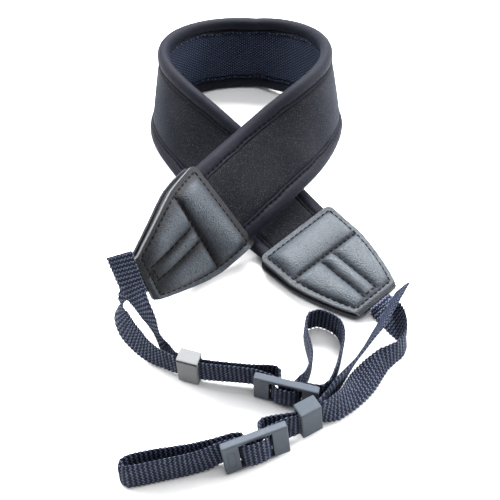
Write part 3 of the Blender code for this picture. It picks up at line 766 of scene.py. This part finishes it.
def close_tube(form, rings):
    """Smooth faces between rings of points and one over each end. Gives back the faces of each stretch."""
    stretches = []
    for near, far in zip(rings, rings[1:]):
        faces = []
        for i in range(len(near)):
            j = (i + 1) % len(near)
            faces.append(form.faces.new((near[i], near[j], far[j], far[i])))
            faces[-1].smooth = True
        stretches.append(faces)
    form.faces.new(rings[0])
    form.faces.new(rings[-1])
    return stretches


def wander_at(distance):
    """How far the stitched groove strays across the band."""
    return WANDER * (math.sin(distance / (3.1 * MM)) + math.sin(distance / (1.9 * MM) + 1))


def band_rows(band, section, distances, wrinkle=0.0):
    rows = []
    for distance in distances:
        flat = squeeze_at(distance, band)
        tug = 0.5 + 0.5 * math.cos(2 * math.pi * distance / STITCH_PITCH)
        wander = wander_at(distance)
        row = []
        for w, n in section:
            near = max(0, 1 - abs(abs(w) - SEAM) / (1.9 * MM)) if wrinkle else 0
            row.append(band.point(distance, w + wander * near, n * flat * (1 - wrinkle * near * tug)))
        rows.append(row)
    return rows


def make_core(band, material):
    lip = FOAM_LIP - GAP
    outer = []
    for i in range(17):
        w = lip * (-1 + i / 8)
        swell = 1 - (abs(w) / lip) ** 3
        outer.append((w, -(FOAM_SHOULDER + (FOAM_BULGE - FOAM_SHOULDER) * swell)))
    half = FOAM_TONGUE / 2
    under = [(lip + GAP, -1.3 * MM), (TONGUE_REACH, -half), (TONGUE_REACH, half), (lip + GAP, half)]
    section = outer + under + [(0, half)] + [(-w, n) for w, n in reversed(under)]
    end = LEATHER_LENGTH - LEATHER_LAP
    distances = stations(end, band.length - end, 1.6 * MM)
    mesh = swept_mesh("foam_cover", band_rows(band, section, distances), section, distances)
    core = put("foam_cover", mesh, material, ["pad_core"])


def roll_section(sign):
    """Rolled edge with a stitched groove on both faces: width and depth, outer face first."""
    face = (
        (13.0, 2.2),
        (13.2, 2.6),
        (13.5, 2.68),
        (13.8, 2.3),
        (SEAM / MM, 1.75),
        (14.65, 2.35),
        (15.15, 2.88),
        (16.2, 3.03),
        (17.4, 2.98),
        (18.5, 2.6),
        (19.4, 1.85),
        (19.9, 0.8),
    )
    inner = ((18.6, 0.0), (18.0, 1.2), (16.5, 1.9), (13.0, 1.5))
    outline = [(w, -n) for w, n in face] + [(20.0, 0.0)] + [(w, n) for w, n in reversed(face)]
    back = [(w, n) for w, n in reversed(inner)] + [(w, -n) for w, n in inner[1:]]
    return [(sign * w * MM, n * MM) for w, n in outline + back]


def make_rolls(band, material):
    end = LEATHER_LENGTH - LEATHER_LAP
    distances = stations(end, band.length - end, STITCH_PITCH / 4)
    for name, node, sign in (("upper_roll", "upper_binding", 1), ("lower_roll", "lower_binding", -1)):
        section = roll_section(sign)
        mesh = swept_mesh(name, band_rows(band, section, distances, 0.12), section, distances)
        put(name, mesh, material, [node])


def make_lining(band, material):
    depth = FOAM_TONGUE / 2 + GAP
    edge = LINING_EDGE
    mouth = LEATHER_LENGTH + GAP
    distances = stations(mouth, band.length - mouth, 1.6 * MM)
    top = [(edge * (1 - i / 8), depth + LINING_THICKNESS * (1 if i % 16 else 0.55)) for i in range(17)]
    section = top + [(-edge, depth), (edge, depth)]
    rows = [[band.point(d, w, n) for w, n in section] for d in distances]
    mesh = swept_mesh("lining_knit", rows, section, distances)
    put("lining_knit", mesh, material, ["mesh_lining"])


def make_piping(band, material):
    """The lining's rolled seam, which wanders a little along both edges of the inner face."""
    mouth = LEATHER_LENGTH + GAP
    distances = stations(mouth, band.length - mouth, 0.9 * MM)
    form = bmesh.new()
    layer = form.loops.layers.uv.new("span")
    for sign in (-1, 1):
        rings = []
        for distance in distances:
            place, along, across = band.frame(distance)
            out = along.cross(across)
            sway = math.sin(distance / (2.6 * MM)) + 0.6 * math.sin(distance / (5.3 * MM) + 2)
            width = sign * LINING_EDGE + 2.2 * WANDER * sway
            middle = band.point(distance, width, 2.6 * MM * squeeze_at(distance, band))
            radius = (0.5 + 0.1 * math.cos(2 * math.pi * distance / STITCH_PITCH)) * MM
            ring = []
            for i in range(8):
                a = math.pi * i / 4
                ring.append(form.verts.new(middle + (across * math.cos(a) + out * math.sin(a)) * radius))
            rings.append(ring)
        for faces, mark in zip(close_tube(form, rings), distances):
            for loop in (loop for face in faces for loop in face.loops):
                loop[layer].uv = (mark / MM, 0.4)
    put("lining_piping", finished_mesh("lining_piping", form), material)


# The stitches
def stitch_rings(form, start, end, normal):
    """One stitch: a short thread that rises out of the seam and goes back into it."""
    along = end - start
    side = along.cross(normal).normalized()
    rise = side.cross(along).normalized()
    rings = []
    for part, lift, size in STITCH_PROFILE:
        middle = start + along * part + rise * lift * STITCH_RADIUS
        ring = []
        for i in range(6):
            a = math.pi * i / 3
            out = side * math.cos(a) + rise * math.sin(a)
            ring.append(form.verts.new(middle + out * STITCH_RADIUS * size))
        rings.append(ring)
    close_tube(form, rings)


def stitch_line(form, path):
    """Stitches along a path of (place, normal) pairs."""
    marks = running_marks(path)
    count = max(1, round(marks[-1] / STITCH_PITCH))
    step = marks[-1] / count
    for i in range(count):
        start, normal = pair_at(path, marks, step * i + (step - STITCH_LENGTH) / 2)
        end, _ = pair_at(path, marks, step * i + (step + STITCH_LENGTH) / 2)
        stitch_rings(form, start, end, normal.normalized())


def sew_band(band, material):
    form = bmesh.new()
    mouth = LEATHER_LENGTH + 0.5 * MM
    for sign in (-1, 1):
        for face in (-1, 1):
            path = []
            for distance in stations(mouth, band.length - mouth, 1.5 * MM):
                flat = squeeze_at(distance, band)
                place, along, across = band.frame(distance)
                normal = along.cross(across) * face
                width = sign * SEAM + wander_at(distance)
                path.append((band.point(distance, width, face * 1.85 * MM * flat), normal))
            stitch_line(form, path)
    put("band_stitches", finished_mesh("band_stitches", form), material)


# The leather ends
def leather_half_width(share):
    width = blend(LEATHER_SECTIONS, share, "width")
    half = (LEATHER_TIP_WIDTH + (LEATHER_WIDTH - LEATHER_TIP_WIDTH) * min(width, 1.0)) / 2
    if share < 0.06:
        half = (LEATHER_WIDTH / 2) - corner_trim(share)
    return half


def corner_trim(share):
    radius = 3.0 * MM
    run = max(radius - share * LEATHER_LENGTH, 0)
    return radius - math.sqrt(max(radius * radius - run * run, 0))


def smooth_step(value):
    value = min(max(value, 0.0), 1.0)
    return value * value * (3 - 2 * value)


def fold_at(share):
    """How far the leather has gone round its fold: 0 before it, 1 at the tip."""
    return smooth_step((share - FOLD_START) / FOLD_RUN)


def swell(part, power):
    """A rounded rise and fall over a part that runs from 0 to 1."""
    return math.sin(math.pi * min(max(part, 0.0), 1.0)) ** power


def puff_height(share, w, half):
    """Height of the padded front above the flat flange."""
    if share < MOUTH_SEAM or share > TIP_SEAM:
        return 0.0
    edge = half - SEAM_INSET
    if abs(w) >= edge:
        return 0.0
    if share < TRANSVERSE:
        groove = GROOVE / LEATHER_LENGTH
        lengthwise = swell((share - MOUTH_SEAM) / (TRANSVERSE - groove - MOUTH_SEAM), 0.5)
        return PILLOW * lengthwise * math.sin(min((edge - abs(w)) / (5 * MM), 1) * math.pi / 2) ** 0.7
    beyond = max((share - TRANSVERSE) * LEATHER_LENGTH - GROOVE, 0)
    near = math.sin(min(beyond / (3.6 * MM), 1) * math.pi / 2)
    far = math.sin(min((TIP_SEAM - share) * LEATHER_LENGTH / (11 * MM), 1) * math.pi / 2)
    finger = LEATHER_FINGER / 2
    if abs(w) < finger:
        across = 0.85 * swell((w + finger - GROOVE) / (2 * (finger - GROOVE)), 0.5)
    else:
        across = swell((abs(w) - finger - GROOVE) / (edge - finger - GROOVE), 0.5)
    return PILLOW * 0.92 * near**0.7 * far**0.7 * across


def make_leather(name, node, band, side, leather, edge, thread):
    cavity_wide = (ROLL_RADIUS - ROLL_WALL / 2) * SQUEEZE + ROLL_WALL / 2 + GAP
    cavity_tip = WEB_THICKNESS / 2 + GAP
    sheet = 1.15 * MM
    inset = 0.9 * MM

    def spot(share, w, depth):
        distance = LEATHER_LENGTH * (1 - share)
        if side == "left":
            distance = band.length - distance
        return band.point(distance, w, depth)

    def wall_at(share):
        cavity = cavity_tip + (cavity_wide - cavity_tip) * blend(LEATHER_SECTIONS, share, "cavity")
        return cavity + LEATHER_WALL

    shares = [i / LEATHER_ROWS for i in range(LEATHER_ROWS + 1)]
    # Painted shade in the grooves: wider and darker on the left end than on the right.
    shade_reach, depth_shade = (2.0 * MM, 1.0) if side == "left" else (1.0 * MM, 0.5)
    shade = []
    lateral = LEATHER_COLUMNS
    # Painted shade: the flange darkens towards this value round the fold.
    fold_shade = 0.87
    rows = []
    for share in shares:
        half = leather_half_width(share)
        wall = wall_at(share)
        fold = fold_at(share)
        front_depth = wall * (1 - FOLD_PINCH * fold)
        curl = CURL * smooth_step((0.85 - share) / 0.4) if side == "left" else 0
        row = []
        for i in range(lateral + 1):
            w = half * (-1 + 2 * i / lateral)
            turned = curl * smooth_step((-w - half + SEAM_INSET) / SEAM_INSET)
            puff = puff_height(share, w, half)
            row.append(spot(share, w, -front_depth - puff - turned))
            padded = abs(w) < half - SEAM_INSET + 0.2 * MM and 0.05 < share < 0.94
            # Painted shade on the flange: darker on one side and at the mouth of the left end.
            painted_flange_shade = 0.6 if side == "left" and (w > 0 or share < 0.05) else 0.12
            if padded:
                shade.append(depth_shade * math.exp(-((puff / shade_reach) ** 2)))
            else:
                shade.append(painted_flange_shade + (fold_shade - painted_flange_shade) * fold)
        sheet_here = min(sheet, front_depth * 0.85)
        step = inset * (1 - fold)
        inner = front_depth - sheet_here
        wide = half + 0.2 * MM * (1 - fold)
        flank = [(half, -inner), (half - step, -inner), (half - step, inner)]
        flank += [(wide, inner), (wide, front_depth)]
        around = flank + [(0, front_depth)] + [(-w, n) for w, n in reversed(flank)]
        row += [spot(share, w, n) for w, n in around]
        shade += [0.5] * len(around)
        rows.append(row)
    count = len(rows[0])

    def ring(share, half_w, half_n):
        """A pocket section with as many points as the outer rows."""
        made = []
        for i in range(lateral + 1):
            made.append(spot(share, half_w * (-1 + 2 * i / lateral), -half_n))
        for i in range(count - lateral - 1):
            part = (i + 1) / (count - lateral)
            turn = 1 - 2 * part
            made.append(spot(share, half_w * turn, half_n))
        return made

    mouth_half = min(BAND_WIDTH / 2 + GAP, leather_half_width(0) - 0.3 * MM)
    rows.insert(0, ring(0.0, mouth_half, cavity_wide))
    rows.insert(0, ring(0.12, mouth_half, cavity_wide))
    slot_half = WEB_WIDTH / 2 + SLIDE
    rows.append(ring(1.0, slot_half, cavity_tip * 0.9))
    rows.append(ring(0.9, slot_half, cavity_tip * 0.9))
    # Painted shade for every point: mid in the pocket at the mouth, darker in the slot at the tip.
    painted_shades = [0.5] * (2 * count) + shade + [0.8] * (2 * count)
    mesh = mesh_from_rows(name, rows, True, None, True)
    put(name, mesh, leather, [node])
    for material in edge:
        mesh.materials.append(material)
    cut_columns = {
        (lateral, lateral + 1): 1,
        (0, lateral + 11): 1,
        (lateral + 4, lateral + 5): 2,
        (lateral + 7, lateral + 8): 2,
    }
    for face in mesh.polygons:
        columns = tuple(sorted({v % count for v in face.vertices}))
        if all(1 < v // count < len(rows) - 2 for v in face.vertices):
            face.material_index = cut_columns.get(columns, 0)
            # Painted shade: the left end's front margin at the mouth takes the dark back edge material.
            near_mouth = max(v // count for v in face.vertices) <= 8
            if side == "left" and near_mouth and columns[-1] <= lateral:
                face.material_index = 2
    mesh.set_sharp_from_angle(angle=math.radians(50))
    # The painted shade goes on the mesh as an attribute for the leather's colour.
    painted_shade = mesh.attributes.new("painted_shade", "FLOAT", "POINT")
    for i, value in enumerate(painted_shades):
        painted_shade.data[i].value = value
    sew_leather(name + "_stitches", spot, wall_at, thread)


def sew_leather(name, spot, wall_at, thread):
    form = bmesh.new()

    def surface(share, w, lift=0.12 * MM):
        half = leather_half_width(share)
        depth = -wall_at(share) * (1 - FOLD_PINCH * fold_at(share))
        return spot(share, w, depth - puff_height(share, w, half) - lift)

    def normal_at(share, w):
        a = surface(share + 0.01, w) - surface(share - 0.01, w)
        b = surface(share, w + 0.3 * MM) - surface(share, w - 0.3 * MM)
        n = a.cross(b).normalized()
        out = spot(share, w, -1 * MM) - spot(share, w, 0)
        return n if n.dot(out) > 0 else -n

    def path(points):
        return [(surface(s, w), normal_at(s, w)) for s, w in points]

    inset = SEAM_INSET - 0.3 * MM
    mouth = 0.05
    tip = 0.94
    sides = [mouth + (tip - mouth) * i / 40 for i in range(41)]
    for sign in (-1, 1):
        stitch_line(form, path([(s, sign * (leather_half_width(s) - inset)) for s in sides]))
    for share in (mouth, TRANSVERSE):
        half = leather_half_width(max(share, 0.07)) - inset
        stitch_line(form, path([(share, half * (-1 + i / 15)) for i in range(31)]))
    half = leather_half_width(tip) - inset
    stitch_line(form, path([(tip, half * (-1 + i / 8)) for i in range(17)]))
    finger = LEATHER_FINGER / 2
    lengths = [TRANSVERSE + 0.015 + (0.9 - TRANSVERSE) * i / 20 for i in range(21)]
    for sign in (-1, 1):
        stitch_line(form, path([(s, sign * finger) for s in lengths]))
    stitch_line(form, path([(0.9, finger * (-0.8 + i * 0.2)) for i in range(9)]))
    put(name, finished_mesh(name, form), thread)


# The webbing
def resample(route, step):
    marks = running_marks(route)
    count = round(marks[-1] / step)
    evenly = [marks[-1] * k / count for k in range(count + 1)]
    return [(*pair_at(route, marks, mark), mark) for mark in evenly]


def weave_height(u, v):
    """Height of the weave, 0 to 1, at a length and a width in metres: ribs of short yarns, set zigzag."""
    column = math.floor(v / YARN_PITCH)
    shift = ZIGZAG * (1 if column % 2 else -1)
    rib = 0.5 - 0.5 * math.cos(2 * math.pi * (u / RIB_PITCH + shift))
    yarn = math.sin(math.pi * (v / YARN_PITCH - column))
    return rib * (0.35 + 0.65 * yarn**0.6)


def make_web(name, node, knots, material):
    """Webbing with its ribs standing up across it and its edges scalloped by them."""
    route = resample(smooth_route(knots), RIB_PITCH / 5)
    half_w = WEB_WIDTH / 2
    half_t = WEB_THICKNESS / 2
    count = 26
    widths = [1 - 2 * i / count for i in range(count + 1)]
    outline = [(a, 1) for a in widths] + [(-a, -1) for a in widths]
    rows = []
    for i, (place, up, mark) in enumerate(route):
        before = route[max(i - 3, 0)][0]
        after = route[min(i + 3, len(route) - 1)][0]
        along = (after - before).normalized()
        across = (up - along * up.dot(along)).normalized()
        out = along.cross(across)
        rib = 0.5 - 0.5 * math.cos(2 * math.pi * mark / RIB_PITCH)
        wide = half_w * (0.955 + 0.085 * rib)
        row = []
        for a, b in outline:
            edge = math.sqrt(max(1 - abs(a) ** 6, 0.06))
            height = weave_height(mark + (0 if b > 0 else RIB_PITCH / 2), a * half_w)
            row.append(place + across * a * wide + out * b * half_t * edge * (0.7 + 0.3 * height))
        rows.append(row)
    section = [(a * half_w, b * half_t) for a, b in outline]
    mesh = swept_mesh(name, rows, section, [mark for _, _, mark in route])
    put(name, mesh, material, [node])


# The whole strap
def dress():
    band = trace_band()
    thread = thread_material()
    make_core(band, cover_material())
    make_rolls(band, roll_material())
    lining = lining_material()
    make_lining(band, lining)
    make_piping(band, lining)
    sew_band(band, thread)
    leather = leather_material()
    edge = (
        edge_material("front_cut_edge", (0.05, 0.05, 0.052), (0.22, 0.21, 0.20)),
        # The dark back edge also serves as painted shade on the left end's mouth margin.
        edge_material("back_cut_edge_and_painted_shade", (0.005, 0.005, 0.007), (0.036, 0.034, 0.038)),
    )
    for side in ("left", "right"):
        make_leather(side + "_patch", side + "_leather_end", band, side, leather, edge, thread)
    hub = (band.places[0] + band.places[-1]) / 2
    keeper_size = (KEEPER_LENGTH, KEEPER_HEIGHT, KEEPER_THICKNESS)
    buckle_size = (BUCKLE_LENGTH, BUCKLE_HEIGHT, BUCKLE_THICKNESS)
    ways = dict(
        left=(1, LEFT_RUN, LEFT_LOOP, LEFT_TAIL),
        right=(-1, RIGHT_RUN, RIGHT_LOOP, RIGHT_TAIL),
    )
    web = webbing_material()
    for side, (front_sign, run, loop, tail) in ways.items():
        keeper = Fitting(FITTINGS[side + "_keeper"], hub, keeper_size, front_sign)
        buckle = Fitting(FITTINGS[side + "_buckle"], hub, buckle_size, front_sign)
        lift = Vector((0, 0, FLOOR_LIFT))
        keeper.place = keeper.place + lift
        buckle.place = buckle.place + lift
        knots = webbing_knots(band, side, run, loop, tail, keeper, buckle)
        make_web(side + "_ribbed_web", side + "_webbing", knots, web)
        if side == "right":
            cheek_line(buckle, plastic_material("moulded_line_plastic", (0.014, 0.018, 0.026), 0.5))
        if side == "left":
            # A painted shadow line on the left keeper.
            keeper_painted_shadow(keeper, plastic_material("keeper_painted_shadow_plastic", (0.005, 0.007, 0.014), 0.6))
    # Painted reflection: both keepers are the same dark plastic as the buckles, given paler colours that
    # stand in for the lamps' reflections, much paler on the left.
    pale = plastic_material("left_keeper_painted_reflection", (0.18, 0.186, 0.19), 0.9)
    slate = plastic_material("right_keeper_painted_reflection", (0.052, 0.064, 0.080), 0.75)
    grey = plastic_material("buckle_plastic", (0.043, 0.055, 0.074), 0.55)
    plastics = dict(left_keeper=pale, right_keeper=slate, left_buckle=grey, right_buckle=grey)
    for node, material in plastics.items():
        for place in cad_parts[node].material_slots:
            place.material = material


def keeper_painted_shadow(keeper, material):
    """A dark strip along the top of the left keeper's front: a painted shadow line under its top edge."""
    high = KEEPER_HEIGHT / 2 - 0.75 * MM
    front = KEEPER_THICKNESS / 2
    rows = []
    for along in (-KEEPER_LENGTH / 2 + 0.1 * MM, KEEPER_LENGTH / 2 - 0.1 * MM):
        base = keeper.point(along, front) + keeper.up * high
        corners = ((-0.42, -0.3), (-0.42, 0.06), (0.42, 0.06), (0.42, -0.3))
        rows.append([base + (keeper.up * a + keeper.front * b) * MM for a, b in corners])
    put("left_keeper_painted_shadow", mesh_from_rows("left_keeper_painted_shadow", rows, True, None, True), material)


def cheek_line(buckle, material):
    """The fine moulded outline on one cheek of the right buckle."""
    middle = (BUCKLE_WINDOW + BUCKLE_LENGTH) / 4
    half_a, half_u, line = 1.25 * MM, 4.3 * MM, 0.13 * MM
    front = BUCKLE_THICKNESS / 2
    rows = []
    for grow, depth in ((-line, -0.2 * MM), (-line, 0.02 * MM), (line, 0.02 * MM), (line, -0.2 * MM)):
        ring = []
        for i in range(32):
            a = 2 * math.pi * i / 32
            x = math.copysign(abs(math.cos(a)) ** 0.4, math.cos(a)) * (half_a + grow)
            y = math.copysign(abs(math.sin(a)) ** 0.4, math.sin(a)) * (half_u + grow)
            ring.append(buckle.point(middle + x, front + depth) + buckle.up * y)
        rows.append(ring)
    put("cheek_outline", mesh_from_rows("cheek_outline", rows + rows[:1], True), material)


def light(name, place, aim, size, power):
    lamp = bpy.data.lights.new(name, "AREA")
    lamp.shape = "RECTANGLE"
    lamp.size, lamp.size_y = size
    lamp.energy = power
    thing = bpy.data.objects.new(name, lamp)
    bpy.context.scene.collection.objects.link(thing)
    thing.location = place
    thing.rotation_mode = "QUATERNION"
    thing.rotation_quaternion = (Vector(aim) - Vector(place)).to_track_quat("-Z", "Y")


def studio():
    floor_mesh = bpy.data.meshes.new("floor")
    reach = 4.0
    corners = [(-reach, -reach, 0), (reach, -reach, 0), (reach, reach, 0), (-reach, reach, 0)]
    floor_mesh.from_pydata(corners, [], [(0, 1, 2, 3)])
    floor = bpy.data.objects.new("floor", floor_mesh)
    bpy.context.scene.collection.objects.link(floor)
    m = Nodes("white_floor")
    floor_mesh.materials.append(m.finish((0.93, 0.93, 0.935), 0.6, None, 0.0, 0.2))
    world = bpy.data.worlds.new("studio")
    bpy.context.scene.world = world
    world.use_nodes = True
    back = world.node_tree.nodes["Background"]
    back.inputs["Color"].default_value = (1.0, 1.0, 1.0, 1)
    back.inputs["Strength"].default_value = 0.27
    light("softbox_behind", (0.06, 0.60, 0.72), (0, 0, 0.02), (0.7, 0.4), 30)
    light("softbox_left", (-0.75, 0.30, 0.55), (0, 0, 0.02), (0.4, 0.3), 11)
    light("softbox_right", (0.75, 0.15, 0.40), (0, 0, 0.02), (0.3, 0.3), 11)
    light("softbox_above", (0.10, 0.0, 1.0), (0, 0, 0), (0.8, 0.8), 6)


def camera():
    """The photo's view: its height, distance and field of view."""
    elevation = math.radians(49.9)
    half_field = math.radians(20.0)
    reach = 312.35 * MM
    aim = Vector((-4.064, -10.133, 0.328)) * MM
    lens = bpy.data.cameras.new("camera")
    lens.sensor_width = 36
    lens.lens = 18 / math.tan(half_field)
    lens.clip_start = 0.01
    thing = bpy.data.objects.new("camera", lens)
    bpy.context.scene.collection.objects.link(thing)
    thing.location = aim + Vector((0, -math.cos(elevation), math.sin(elevation))) * reach
    thing.rotation_mode = "QUATERNION"
    thing.rotation_quaternion = (aim - thing.location).to_track_quat("-Z", "Y")
    bpy.context.scene.camera = thing
    bpy.context.scene.view_settings.view_transform = "Standard"


dress()
studio()
camera()
